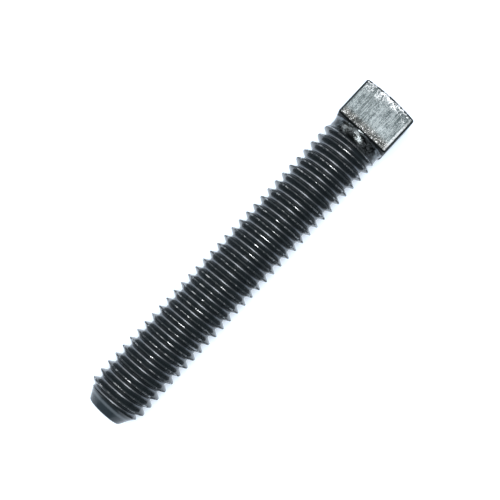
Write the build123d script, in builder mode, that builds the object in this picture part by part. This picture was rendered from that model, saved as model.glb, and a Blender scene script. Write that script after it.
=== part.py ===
"""A 3/8 inch square head set screw, lying along X with its head towards +X and a head flat upwards.

Millimetres, +Z up. The middle of the bounding box is over the origin and the lowest crest is on z = 0.
The whole screw is one piece of steel. Its thread is a helical groove cut into a long blank, which is
then turned down to the point at one end and to the neck at the other, and joined to the head.
"""
from build123d import *
from math import ceil, radians, sqrt, tan
import os

# Thread: an inch size, with crests cut a little short of it
inch = 25.4
threads_per_inch = 16
nominal_diameter = 9.525
crest_allowance = 0.145
flank_allowance = 0.144
thread_half_angle = 30
thread_to_head = 2.7525
run_out_angle = 24
run_out_turns = 0.9

# Point: a rounded end on a short cone, and a steeper lead where the thread begins
point_diameter = 5.7
point_angle = 28
point_length = 1.45
point_round = 0.4
lead_angle = 37

# Neck and head
length_under_head = 55.95
neck_step = 0.09
shoulder_angle = 18
head_height = 7.1
flats_below_nominal = 0.325
crown_radius = 32
head_edge_round = 0.3
crown_edge_round = 0.3
head_underside_bevel = 0.27

# How far a cutting shape reaches past what it cuts, and how many turns one groove sweep may have: a
# longer sweep drifts from its helix
overcut = 0.2
turns_per_stretch = 3

# The thread's form, from the pitch and the height of a full sharp triangle
pitch = inch / threads_per_inch
sharp_height = pitch / 2 / tan(radians(thread_half_angle))
major_diameter = nominal_diameter - crest_allowance
pitch_diameter = nominal_diameter - sharp_height * 3 / 4 - flank_allowance
minor_diameter = nominal_diameter - sharp_height * 11 / 8
crest_radius = major_diameter / 2
groove_depth = (major_diameter - minor_diameter) / 2
flank_slope = tan(radians(thread_half_angle))

# The neck under the head is a little thicker than the thread at its pitch line
neck_radius = pitch_diameter / 2 + neck_step
head_across_flats = nominal_diameter - flats_below_nominal

# Places along X, from the point's face to the top of the crown
total_length = length_under_head + head_height
point_end = -total_length / 2
head_underside = point_end + length_under_head
crown_top = total_length / 2
thread_end = head_underside - thread_to_head
stretch = turns_per_stretch * pitch
stretches = ceil((thread_end - point_end) / stretch + 0.5)
thread_start = thread_end - stretches * stretch
blank_start = thread_start - 2 * pitch


def groove(start, length, cone_angle=0):
    """The thread's groove as a solid to cut away, rising outwards when the cone angle isn't zero."""
    root_half = pitch / 4 - (pitch_diameter - minor_diameter) / 2 * flank_slope
    mouth_half = root_half + (groove_depth + overcut) * flank_slope
    with BuildPart() as cutter:
        with BuildLine() as route:
            Helix(
                pitch,
                length,
                crest_radius,
                center=(start, 0, 0),
                direction=(1, 0, 0),
                cone_angle=cone_angle,
            )
        begin = route.line @ 0
        with BuildSketch(Plane(begin, x_dir=(0, begin.Y, begin.Z), z_dir=route.line % 0)):
            with BuildLine():
                Polyline(
                    (overcut, -mouth_half),
                    (overcut, mouth_half),
                    (-groove_depth, root_half),
                    (-groove_depth, -root_half),
                    close=True,
                )
            make_face()
        sweep(path=route.line, is_frenet=True)
    return cutter.part


groove_stretches = [groove(thread_start + n * stretch, stretch) for n in range(stretches)]
fading_groove = groove(thread_end, run_out_turns * pitch, run_out_angle)

# The head: a square bar with rounded edges, topped by a shallow spherical crown
with BuildPart() as head:
    with BuildSketch(Plane.YZ.offset(head_underside)):
        RectangleRounded(head_across_flats, head_across_flats, head_edge_round)
    extrude(amount=head_height)
    crown_reach = head_across_flats
    crown_drop = crown_radius - sqrt(crown_radius**2 - crown_reach**2)
    with BuildSketch(Plane.XZ):
        with BuildLine():
            RadiusArc((crown_top - crown_drop, crown_reach), (crown_top, 0), crown_radius)
            Polyline(
                (crown_top, 0),
                (head_underside - overcut, 0),
                (head_underside - overcut, crown_reach),
                (crown_top - crown_drop, crown_reach),
            )
        make_face()
    revolve(axis=Axis.X, mode=Mode.INTERSECT)
    crown = head.faces().sort_by(Axis.X)[-1]
    fillet(crown.edges(), crown_edge_round)
    underside = head.faces().sort_by(Axis.X)[0]
    chamfer(underside.edges(), head_underside_bevel)

# The shank: the blank is threaded, then turned down to its point at one end and its neck at the other
with BuildPart() as screw:
    with BuildSketch(Plane.YZ.offset(blank_start)):
        Circle(crest_radius)
    extrude(amount=crown_top - blank_start)
    for groove_stretch in groove_stretches:
        add(groove_stretch, mode=Mode.SUBTRACT)
    add(fading_groove, mode=Mode.SUBTRACT)

    outside = crest_radius + overcut
    lead_start = point_end + point_length
    lead_foot = point_diameter / 2 + point_length * tan(radians(point_angle))
    lead_end = lead_start + (outside - lead_foot) / tan(radians(lead_angle))
    shoulder_slope = tan(radians(shoulder_angle))
    shoulder_start = thread_end + pitch / 4
    neck_start = shoulder_start + (crest_radius - neck_radius) / shoulder_slope
    with BuildSketch(Plane.XZ):
        with BuildLine():
            Polyline(
                (point_end, 0),
                (point_end, point_diameter / 2),
                (lead_start, lead_foot),
                (lead_end, outside),
                (shoulder_start - overcut / shoulder_slope, outside),
                (neck_start, neck_radius),
                (head_underside + overcut, neck_radius),
                (head_underside + overcut, 0),
                close=True,
            )
        make_face()
        rim = vertices().filter_by_position(Axis.X, point_end, point_end).sort_by(Axis.Y)[-1]
        fillet(rim, point_round)
    revolve(axis=Axis.X, mode=Mode.INTERSECT)
    add(head.part)

screw.part.label = "set_screw"
screw.part.locate(Location((0, 0, max(crest_radius, head_across_flats / 2))))

os.makedirs("parts", exist_ok=True)
export_step(screw.part, "parts/set_screw.step")
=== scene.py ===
"""A 3/8 inch square head set screw lying on a pale floor, seen from above.

Metres, +Z up, the screw along X with its head towards +X.
"""
import math

import bmesh
import bpy
from mathutils import Matrix, Vector


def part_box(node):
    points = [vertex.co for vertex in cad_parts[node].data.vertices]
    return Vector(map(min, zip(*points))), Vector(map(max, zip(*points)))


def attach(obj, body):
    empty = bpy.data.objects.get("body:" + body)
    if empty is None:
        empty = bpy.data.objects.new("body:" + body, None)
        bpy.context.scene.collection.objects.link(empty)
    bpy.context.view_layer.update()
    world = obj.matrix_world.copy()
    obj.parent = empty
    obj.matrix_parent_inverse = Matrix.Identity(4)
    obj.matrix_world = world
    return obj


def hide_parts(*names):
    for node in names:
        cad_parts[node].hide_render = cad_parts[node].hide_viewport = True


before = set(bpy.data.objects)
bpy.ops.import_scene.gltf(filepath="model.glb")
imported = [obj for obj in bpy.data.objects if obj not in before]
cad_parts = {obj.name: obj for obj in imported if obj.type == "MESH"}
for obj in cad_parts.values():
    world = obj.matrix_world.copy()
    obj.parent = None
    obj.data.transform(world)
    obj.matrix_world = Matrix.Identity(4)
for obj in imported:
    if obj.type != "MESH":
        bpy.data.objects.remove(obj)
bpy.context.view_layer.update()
mm = 0.001

# ---------------------------------------------------------------------------
# Threaded shank: a steel blank with a coarse thread rolled into it, so its
# crests and roots are round, and both run out into the plain neck under the
# head. Its point is turned afterwards, a short cone with a steeper lead.
# ---------------------------------------------------------------------------
low, high = (Vector(corner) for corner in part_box("set_screw"))
point_end = low.x
crown_top = high.x
axis_height = (low.z + high.z) / 2
crest_radius = high.z - axis_height
head_height = 7.1 * mm
head_underside = crown_top - head_height

inch = 25.4 * mm
threads_per_inch = 16
pitch = inch / threads_per_inch
thread_to_head = 2.7525 * mm
thread_end = head_underside - thread_to_head
flank_degrees = 30
flank_slope = math.tan(math.radians(flank_degrees))
flank_radius = 4.175 * mm
sharp_root = flank_radius - pitch / 4 / flank_slope
root_radius = 3.817 * mm
root_round = root_radius - sharp_root
crest_round = 0.12 * mm

turn_steps = 80
root_points = 6
crest_points = 4
flank_parts = 3
turn_weld = 0.004 * mm


def arc(centre_along, centre_out, radius, first, last, count):
    """Points round an arc in the (along, out) half plane, angles in degrees from the axis."""
    points = []
    for step in range(count):
        angle = math.radians(first + (last - first) * step / (count - 1))
        points.append((centre_along + radius * math.cos(angle), centre_out + radius * math.sin(angle)))
    return points


def thread_profile():
    """One pitch of the thread from the middle of a root to the middle of the next, as (along, out)."""
    crest_half = pitch / 4 - (crest_radius - flank_radius) * flank_slope
    corner = pitch / 2 - (crest_half - crest_round * flank_slope)
    foot = arc(0, root_radius + root_round, root_round, 270, 360 - flank_degrees, root_points)
    top = arc(corner, crest_radius - crest_round, crest_round, 180 - flank_degrees, 90, crest_points)
    start, stop = Vector(foot[-1]), Vector(top[0])
    flank = [start.lerp(stop, part / flank_parts) for part in range(1, flank_parts)]
    rising = foot + flank + top
    falling = [(pitch - along, out) for along, out in reversed(rising)]
    return rising + falling


# Whole turns reach past the point and into the head
turns_to_point = math.ceil((thread_end - point_end) / pitch) + 1
turns_to_head = math.ceil((head_underside - thread_end) / pitch) + 1
thread_start = thread_end - turns_to_point * pitch

shank = bmesh.new()
profile = [shank.verts.new((thread_start + along, 0, out)) for along, out in thread_profile()]
edges = [shank.edges.new(pair) for pair in zip(profile, profile[1:])]
bmesh.ops.spin(
    shank,
    geom=profile + edges,
    cent=(0, 0, 0),
    axis=(1, 0, 0),
    dvec=(pitch / turn_steps, 0, 0),
    angle=math.tau,
    steps=turn_steps,
)
one_turn = shank.verts[:] + shank.edges[:] + shank.faces[:]
for turn in range(1, turns_to_point + turns_to_head):
    copied = bmesh.ops.duplicate(shank, geom=one_turn)["geom"]
    copied_verts = [item for item in copied if isinstance(item, bmesh.types.BMVert)]
    bmesh.ops.translate(shank, verts=copied_verts, vec=(turn * pitch, 0, 0))
bmesh.ops.remove_doubles(shank, verts=shank.verts, dist=turn_weld)

# Both ragged ends of the winding are drawn out to flat discs, to be cut off with the point and in the head
spare_turns = 2
first_disc = thread_start - spare_turns * pitch
last_disc = thread_end + (turns_to_head + spare_turns) * pitch
middle = (thread_start + thread_end) / 2
for side, level in ((-1, first_disc), (1, last_disc)):
    rim = [edge for edge in shank.edges if edge.is_boundary]
    rim = [edge for edge in rim if (edge.verts[0].co.x - middle) * side > 0]
    drawn = bmesh.ops.extrude_edge_only(shank, edges=rim)["geom"]
    for item in drawn:
        if isinstance(item, bmesh.types.BMVert):
            item.co.x = level
    loop = [item for item in drawn if isinstance(item, bmesh.types.BMEdge) and item.is_boundary]
    bmesh.ops.contextual_create(shank, geom=loop)

# Under the head the groove rises out of the blank, and the crests fall to the neck
root_run_out = math.tan(math.radians(24))
crest_run_out = math.tan(math.radians(22))
run_out_blend = 0.11 * mm
neck_radius = 4.34 * mm
neck_flare = 0.17 * mm
flare_length = 0.95 * mm
flare_start = head_underside - flare_length


def smaller(first, second, blend):
    """The smaller of two values, with a rounded change from one to the other."""
    overlap = max(blend - abs(first - second), 0) / blend
    return min(first, second) - overlap**2 * blend / 4


for vert in shank.verts:
    along = vert.co.x
    out = math.hypot(vert.co.y, vert.co.z)
    if along > thread_end and out > 0:
        lifted = out + (along - thread_end) * root_run_out
        shoulder = crest_radius - max(along - thread_end - pitch / 4, 0) * crest_run_out
        to_head = max((along - flare_start) / (head_underside - flare_start), 0)
        plain_neck = neck_radius + neck_flare * min(to_head, 1) ** 2
        envelope = -smaller(-shoulder, -plain_neck, run_out_blend)
        wanted = min(smaller(lifted, envelope, run_out_blend), crest_radius)
        vert.co.y *= wanted / out
        vert.co.z *= wanted / out


def face_outwards(closed):
    """Gives all faces of a closed shape one sense, and turns them over if that sense is inwards."""
    bmesh.ops.recalc_face_normals(closed, faces=closed.faces)
    if closed.calc_volume(signed=True) < 0:
        bmesh.ops.reverse_faces(closed, faces=closed.faces)


face_outwards(shank)

# The point is what is left of the blank inside this turned shape
point_radius = 2.85 * mm
point_degrees = 28
point_length = 1.45 * mm
point_round = 0.4 * mm
lead_slope = math.tan(math.radians(37))
rim_points = 8
clear = 6 * mm
lathe_steps = 128
lathe_weld = 0.001 * mm

rim_inset = point_round * math.tan(math.radians(90 - point_degrees) / 2)
rim_along = point_end + point_round
rim_arc = arc(rim_along, point_radius - rim_inset, point_round, 180, 90 + point_degrees, rim_points)
lead_start = point_end + point_length
lead_foot = point_radius + point_length * math.tan(math.radians(point_degrees))
lead_top = lead_start + (clear - lead_foot) / lead_slope
shank_end = head_underside + clear / 2
outline = [(point_end, 0.0)] + rim_arc
outline += [(lead_start, lead_foot), (lead_top, clear), (shank_end, clear), (shank_end, 0.0)]

die = bmesh.new()
verts = [die.verts.new((along, 0, out)) for along, out in outline]
edges = [die.edges.new(pair) for pair in zip(verts, verts[1:])]
bmesh.ops.spin(
    die,
    geom=verts + edges,
    cent=(0, 0, 0),
    axis=(1, 0, 0),
    angle=math.tau,
    steps=lathe_steps,
    use_merge=True,
)
bmesh.ops.remove_doubles(die, verts=die.verts, dist=lathe_weld)
face_outwards(die)


def lifted_object(name, builder):
    """Makes an object of a bmesh built about the X axis, with the axis at its real height."""
    bmesh.ops.translate(builder, verts=builder.verts, vec=(0, 0, axis_height))
    mesh = bpy.data.meshes.new(name)
    builder.to_mesh(mesh)
    builder.free()
    made = bpy.data.objects.new(name, mesh)
    bpy.context.scene.collection.objects.link(made)
    return made


def combine(target, tool, operation):
    """Applies a Boolean to the target and deletes the tool."""
    step = target.modifiers.new(operation, "BOOLEAN")
    step.operation = operation
    step.solver = "MANIFOLD"
    step.object = tool
    result = bpy.data.meshes.new_from_object(target.evaluated_get(bpy.context.evaluated_depsgraph_get()))
    target.modifiers.clear()
    target.data = result
    bpy.data.objects.remove(tool)


def fitting(tree, kind, inputs=None, **settings):
    """Adds a shader node with its own settings, and with its inputs given by name or number."""
    made = tree.nodes.new(kind)
    for name, value in settings.items():
        setattr(made, name, value)
    for place, value in (inputs or {}).items():
        if isinstance(value, bpy.types.NodeSocket):
            tree.links.new(value, made.inputs[place])
        else:
            made.inputs[place].default_value = value
    return made


def math_of(tree, operation, *values):
    """Joins values two by two with one operation, from the first to the last."""
    result = values[0]
    for value in values[1:]:
        result = fitting(tree, "ShaderNodeMath", {0: result, 1: value}, operation=operation).outputs[0]
    return result


def times(tree, *values):
    return math_of(tree, "MULTIPLY", *values)


def total(tree, *values):
    return math_of(tree, "ADD", *values)


def largest(tree, *values):
    return math_of(tree, "MAXIMUM", *values)


def size_of(tree, value):
    return fitting(tree, "ShaderNodeMath", {0: value}, operation="ABSOLUTE").outputs[0]


def away_from(tree, value, place):
    """How far a value is from a place, to either side."""
    return size_of(tree, math_of(tree, "SUBTRACT", value, place))


def ramp(tree, value, low_end, high_end, low_out=0.0, high_out=1.0):
    """Maps a value from one range to another, clamped, with a soft start and stop."""
    made = fitting(
        tree, "ShaderNodeMapRange", {0: value, 1: low_end, 2: high_end, 3: low_out, 4: high_out},
        interpolation_type="SMOOTHSTEP",
    )
    return made.outputs[0]


def blend_colour(tree, share, first, second):
    return fitting(tree, "ShaderNodeMix", {0: share, 6: first, 7: second}, data_type="RGBA").outputs[2]


def coated(tree, colour, coats):
    """Lays coats over a colour, each with its share of the surface, the last one on top."""
    for share, coat in coats:
        colour = blend_colour(tree, share, colour, coat)
    return colour


def grain(tree, vector, scale, detail, roughness):
    inputs = {"Vector": vector, "Scale": scale, "Detail": detail, "Roughness": roughness}
    return fitting(tree, "ShaderNodeTexNoise", inputs).outputs[0]


def stretched(tree, vector, scale):
    return fitting(tree, "ShaderNodeMapping", {"Vector": vector, "Scale": scale}).outputs[0]


def new_finish(name):
    """Starts a material with the object's own coordinates from the screw's axis, whole and without X."""
    made = bpy.data.materials.new(name)
    made.use_nodes = True
    tree = made.node_tree
    place = fitting(tree, "ShaderNodeTexCoord").outputs["Object"]
    moved = fitting(tree, "ShaderNodeMapping", {"Vector": place, "Location": (0, 0, -axis_height)})
    centred = moved.outputs[0]
    flat = fitting(tree, "ShaderNodeVectorMath", {0: centred, 1: (0, 1, 1)}, operation="MULTIPLY")
    return made, tree, tree.nodes["Principled BSDF"], centred, flat.outputs[0]


def add_bump(tree, shader, depth, strength, distance):
    bump = fitting(tree, "ShaderNodeBump", {"Height": depth, "Strength": strength, "Distance": distance})
    tree.links.new(bump.outputs[0], shader.inputs["Normal"])


# Black oxide: a hard, smooth, nearly black skin, dull on the crests. It is rubbed through to steel in dashes
# along the crests, stained on the neck, and a little greyer on the point. The light lines along the roots,
# round the neck under the head and where the point meets the lead are painted highlights.
oxide, tree, shader, centred, across = new_finish("black_oxide")
radial = fitting(tree, "ShaderNodeVectorMath", {0: across}, operation="LENGTH").outputs["Value"]
along = fitting(tree, "ShaderNodeSeparateXYZ", {0: centred}).outputs[0]
fine = grain(tree, centred, 6500, 3.0, 0.6)
medium = grain(tree, centred, 2600, 2.0, 0.5)
patchy = grain(tree, centred, 800, 3.0, 0.5)
turned = stretched(tree, centred, (1, 0.4, 0.4))

crest = ramp(tree, radial, crest_radius - 0.045 * mm, crest_radius - 0.012 * mm)
on_thread = ramp(tree, along, lead_start + 0.3 * mm, lead_start + 0.8 * mm)
# Painted highlight: a thin ring along the bottom of the roots is made lighter and metal, so the roots show
# as light lines
root = times(tree, ramp(tree, away_from(tree, radial, root_radius), 0.018 * mm, 0.005 * mm), on_thread)
neck = ramp(tree, along, thread_end + 0.5 * mm, thread_end + 1.2 * mm)
point = ramp(tree, along, lead_start + 0.5 * mm, lead_start)
plain = largest(tree, neck, point)
# Painted highlight: a lighter bluish band round the edge where the point's cone meets the lead
lead_edge_highlight = ramp(tree, away_from(tree, along, lead_start), 0.36 * mm, 0.03 * mm)
# Painted highlight: a lighter bluish ring just under the head, broken by noise, for the light line on the
# fillet there
highlight_ring_place = head_underside - 0.13 * mm
under_head = away_from(tree, along, highlight_ring_place)
head_ring_highlight = times(tree, ramp(tree, under_head, 0.12 * mm, 0.03 * mm), ramp(tree, medium, 0.35, 0.60))
last_crest_place = thread_end + 0.62 * mm
last_crest = away_from(tree, along, last_crest_place)
shoulder_line = times(tree, ramp(tree, last_crest, 0.10 * mm, 0.06 * mm), ramp(tree, fine, 0.40, 0.52))
dashes = times(
    tree,
    ramp(tree, grain(tree, turned, 2900, 2.0, 0.5), 0.48, 0.54),
    ramp(tree, fine, 0.40, 0.48),
    ramp(tree, patchy, 0.43, 0.52),
    ramp(tree, crest, 0.35, 1.0),
)
worn = largest(tree, dashes, shoulder_line)

stain = ramp(tree, grain(tree, turned, 1700, 6.0, 0.7), 0.45, 0.66)
tarnish = blend_colour(tree, stain, (0.005, 0.007, 0.007, 1), (0.170, 0.190, 0.198, 1))
skin = blend_colour(tree, patchy, (0.009, 0.013, 0.016, 1), (0.020, 0.026, 0.029, 1))
# Coats: the root, head ring and lead edge colours are painted highlights; the others are the oxide's own
# colours
coats = (
    (neck, tarnish),
    (point, (0.022, 0.031, 0.038, 1)),
    (head_ring_highlight, (0.110, 0.125, 0.135, 1)),
    (lead_edge_highlight, (0.094, 0.113, 0.129, 1)),
    (root, (0.15, 0.16, 0.175, 1)),
    (worn, (0.34, 0.35, 0.36, 1)),
)
tree.links.new(coated(tree, skin, coats), shader.inputs["Base Color"])
tree.links.new(largest(tree, worn, root, times(tree, neck, 0.7)), shader.inputs["Metallic"])
smooth = ramp(tree, patchy, 0.3, 0.7, 0.10, 0.15)
unworn_rough = total(tree, smooth, times(tree, crest, 0.50), times(tree, plain, 0.08))
rough = total(tree, ramp(tree, worn, 0.0, 1.0, unworn_rough, 0.28), times(tree, root, 0.34))
tree.links.new(rough, shader.inputs["Roughness"])
shader.inputs["IOR"].default_value = 1.38
scuffs = times(tree, fine, ramp(tree, crest, 0.0, 1.0, 0.10, 1.0))
depth = total(tree, scuffs, times(tree, medium, plain, 1.5))
add_bump(tree, shader, depth, 0.6, 0.04 * mm)

# ---------------------------------------------------------------------------
# Square head: forged with the shank, its four flats milled square to the axis
# and its top left as a shallow spherical crown. Edges are knocked round.
# ---------------------------------------------------------------------------
half_flats = 4.6 * mm
crown_radius = 32 * mm
edge_round = 0.3 * mm
edge_segments = 4
head_cells = 24
corner_angle = math.radians(40)

head = bmesh.new()
bmesh.ops.create_grid(head, x_segments=head_cells, y_segments=head_cells, size=half_flats)
bmesh.ops.rotate(head, verts=head.verts, cent=(0, 0, 0), matrix=Matrix.Rotation(math.pi / 2, 3, "Y"))
bmesh.ops.translate(head, verts=head.verts, vec=(head_underside, 0, 0))
raised = bmesh.ops.extrude_face_region(head, geom=head.faces[:])["geom"]
for item in raised:
    if isinstance(item, bmesh.types.BMVert):
        drop = crown_radius - math.sqrt(crown_radius**2 - item.co.y**2 - item.co.z**2)
        item.co.x = crown_top - drop
face_outwards(head)
corners = [edge for edge in head.edges if edge.calc_face_angle(0) > corner_angle]
bmesh.ops.bevel(
    head,
    geom=corners,
    offset=edge_round,
    offset_type="OFFSET",
    affect="EDGES",
    segments=edge_segments,
    profile=0.5,
    material=-1,
)
face_outwards(head)
for face in head.faces:
    face.material_index = 1

# Worn steel: the flats are milled along the axis and scored, and stained and specked towards the neck
worn_steel, tree, shader, centred, across = new_finish("worn_head_steel")
milled = stretched(tree, centred, (0.05, 1, 1))
fine_streaks = grain(tree, milled, 8500, 3.0, 0.75)
deep_streaks = grain(tree, milled, 1500, 2.0, 0.5)
speckle = grain(tree, centred, 6800, 2.0, 0.6)
blotches = grain(tree, centred, 950, 5.0, 0.68)
ragged = total(tree, times(tree, blotches, 0.5), times(tree, speckle, 0.5))
scores = grain(tree, stretched(tree, centred, (0.012, 1, 1)), 4800, 2.0, 0.5)

along, sideways, upward = fitting(tree, "ShaderNodeSeparateXYZ", {0: centred}).outputs
# Picks the long edges on one diagonal, which get a painted highlight
highlight_side = ramp(tree, times(tree, sideways, upward), 0.0, -10 * mm**2)
sideways = size_of(tree, sideways)
upward = size_of(tree, upward)
nearer = math_of(tree, "MINIMUM", sideways, upward)
to_edge = math_of(tree, "SUBTRACT", half_flats, nearer)
to_flat = math_of(tree, "SUBTRACT", half_flats, largest(tree, sideways, upward))
foot = math_of(tree, "SUBTRACT", along, head_underside)
squared = fitting(tree, "ShaderNodeVectorMath", {0: across, 1: across}, operation="DOT_PRODUCT")
crown_drop = math_of(tree, "DIVIDE", squared.outputs["Value"], 2 * crown_radius)
to_crown = math_of(tree, "SUBTRACT", crown_top, crown_drop, along)

near_foot = ramp(tree, foot, 1.9 * mm, 0.9 * mm)
near_crown = ramp(tree, to_crown, 2.2 * mm, 0.2 * mm)
on_crown = ramp(tree, to_flat, 0.22 * mm, 0.36 * mm)
off_crown = math_of(tree, "SUBTRACT", 1.0, on_crown)
scored = ramp(tree, scores, 0.57, 0.64, 0.0, 0.55)

# The crown's edge is knocked and rubbed bright in places, and a light strip inside the long edges on one
# diagonal is a painted highlight
knocked = ramp(tree, grain(tree, centred, 420, 3.0, 0.5), 0.48, 0.52)
missed = math_of(tree, "SUBTRACT", 1.0, knocked)
rubbed = ramp(tree, total(tree, ragged, times(tree, near_crown, 0.085)), 0.57, 0.62)
rubbed = times(tree, rubbed, near_crown, off_crown)
crown_edge = ramp(tree, to_crown, 0.40 * mm, 0.30 * mm)
crown_edge = times(tree, crown_edge, knocked, off_crown, ramp(tree, ragged, 0.43, 0.49))
specks = times(tree, ramp(tree, total(tree, ragged, speckle), 1.18, 1.26), near_foot)
long_edge_highlight = ramp(tree, to_edge, 0.72 * mm, 0.55 * mm)
long_edge_highlight = times(tree, long_edge_highlight, ramp(tree, ragged, 0.40, 0.50), highlight_side, 0.30)
# Real wear and the painted edge highlight together
wear_and_highlight = largest(tree, rubbed, crown_edge, specks, long_edge_highlight)

# Painted shade: the rounded long edges, the band beside the neck and the crown's edge where it wasn't
# knocked are painted dark
painted_edge_shade = ramp(tree, to_edge, 0.38 * mm, 0.26 * mm)
crown_rim_shade = times(tree, ramp(tree, to_crown, 0.27 * mm, 0.18 * mm), missed, off_crown)
painted_rim_shade = largest(tree, ramp(tree, foot, 0.34 * mm, 0.24 * mm), crown_rim_shade)

shade = total(
    tree,
    times(tree, fine_streaks, 0.40),
    times(tree, speckle, 0.28),
    times(tree, deep_streaks, 0.12),
    times(tree, blotches, 0.20),
)
shade = ramp(tree, shade, 0.43, 0.57)
flats = blend_colour(tree, shade, (0.052, 0.066, 0.070, 1), (0.275, 0.310, 0.320, 1))
in_stain = ramp(tree, ragged, 0.42, 0.60)
stained = blend_colour(tree, in_stain, (0.011, 0.0105, 0.0095, 1), (0.104, 0.101, 0.092, 1))
in_scale = ramp(tree, ragged, 0.40, 0.62)
forged = blend_colour(tree, in_scale, (0.018, 0.021, 0.022, 1), (0.105, 0.112, 0.112, 1))
# Coats: the edge and rim colours are painted shade, and the light coat is wear with a painted highlight on
# one long edge
coats = (
    (scored, (0.052, 0.064, 0.067, 1)),
    (times(tree, near_foot, 0.8), stained),
    (on_crown, forged),
    (wear_and_highlight, (0.80, 0.82, 0.84, 1)),
    (painted_edge_shade, (0.034, 0.042, 0.045, 1)),
    (painted_rim_shade, (0.012, 0.015, 0.016, 1)),
)
tree.links.new(coated(tree, flats, coats), shader.inputs["Base Color"])
shader.inputs["Metallic"].default_value = 1.0
tree.links.new(ramp(tree, fine_streaks, 0.3, 0.7, 0.52, 0.64), shader.inputs["Roughness"])
add_bump(tree, shader, total(tree, fine_streaks, times(tree, speckle, 0.5)), 0.3, 0.03 * mm)

# The shank, its point and the head become one closed solid, shaded round up to its cut edges
crease = math.radians(28)
screw = lifted_object("screw", shank)
for finish in (oxide, worn_steel):
    screw.data.materials.append(finish)
combine(screw, lifted_object("point_die", die), "INTERSECT")
combine(screw, lifted_object("head", head), "UNION")
screw.data.shade_smooth()
screw.data.set_sharp_from_angle(angle=crease)

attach(screw, "root")
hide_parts("set_screw")

# ---------------------------------------------------------------------------
# Floor, light and camera: a white sweep under one long softbox and a softer
# fill from the side, seen from almost straight above.
# ---------------------------------------------------------------------------
sweep_reach = 2.0
sheet = bmesh.new()
bmesh.ops.create_grid(sheet, x_segments=1, y_segments=1, size=sweep_reach)
floor_mesh = bpy.data.meshes.new("floor")
sheet.to_mesh(floor_mesh)
sheet.free()
floor = bpy.data.objects.new("floor", floor_mesh)
bpy.context.scene.collection.objects.link(floor)
paper = bpy.data.materials.new("white_sweep")
paper.use_nodes = True
tree = paper.node_tree
tree.nodes.clear()
glow_seen = 0.42
glow_mirrored = 0.34
rays = fitting(tree, "ShaderNodeLightPath").outputs
mirrored = largest(tree, rays["Is Glossy Ray"], rays["Is Transmission Ray"])
strength = largest(tree, times(tree, rays["Is Camera Ray"], glow_seen), times(tree, mirrored, glow_mirrored))
matt = fitting(tree, "ShaderNodeBsdfDiffuse", {"Color": (0.70, 0.79, 0.90, 1)})
glow = fitting(tree, "ShaderNodeEmission", {"Color": (0.86, 0.93, 1.0, 1), "Strength": strength})
both = fitting(tree, "ShaderNodeAddShader", {0: matt.outputs[0], 1: glow.outputs[0]})
fitting(tree, "ShaderNodeOutputMaterial", {"Surface": both.outputs[0]})
floor.data.materials.append(paper)

world = bpy.data.worlds.new("studio")
bpy.context.scene.world = world
world.use_nodes = True
sky = world.node_tree.nodes["Background"].inputs
sky["Color"].default_value = (0.78, 0.90, 1, 1)
sky["Strength"].default_value = 0.12

for name, width, depth, power, place, turn in (
    ("softbox", 0.36, 0.14, 3.0, (0.04, -0.01, 0.5), (0, 0, -47)),
    ("side_fill", 0.70, 0.50, 2.2, (0, 0.55, 0.35), (-58, 0, 0)),
):
    lamp = bpy.data.lights.new(name, "AREA")
    lamp.shape = "RECTANGLE"
    lamp.size = width
    lamp.size_y = depth
    lamp.energy = power
    holder = bpy.data.objects.new(name, lamp)
    bpy.context.scene.collection.objects.link(holder)
    holder.location = place
    holder.rotation_euler = [math.radians(angle) for angle in turn]

# The camera stands over the screw's axis, rolled so that the screw lies from corner to corner
camera_data = bpy.data.cameras.new("camera")
camera_data.sensor_width = 36
camera_data.lens = 86.02
camera = bpy.data.objects.new("camera", camera_data)
bpy.context.scene.collection.objects.link(camera)
stand = Matrix.Translation((-3.25 * mm, 0.40 * mm, 178.51 * mm))
tilt = Matrix.Rotation(math.radians(-1.315), 4, "Y")
roll = Matrix.Rotation(math.radians(-47.187), 4, "Z")
lean = Matrix.Rotation(math.radians(2.2), 4, "X")
camera.matrix_world = Matrix.Translation((0, 0, axis_height)) @ lean @ (stand @ tilt @ roll)
bpy.context.scene.camera = camera

bpy.context.scene.view_settings.view_transform = "Standard"
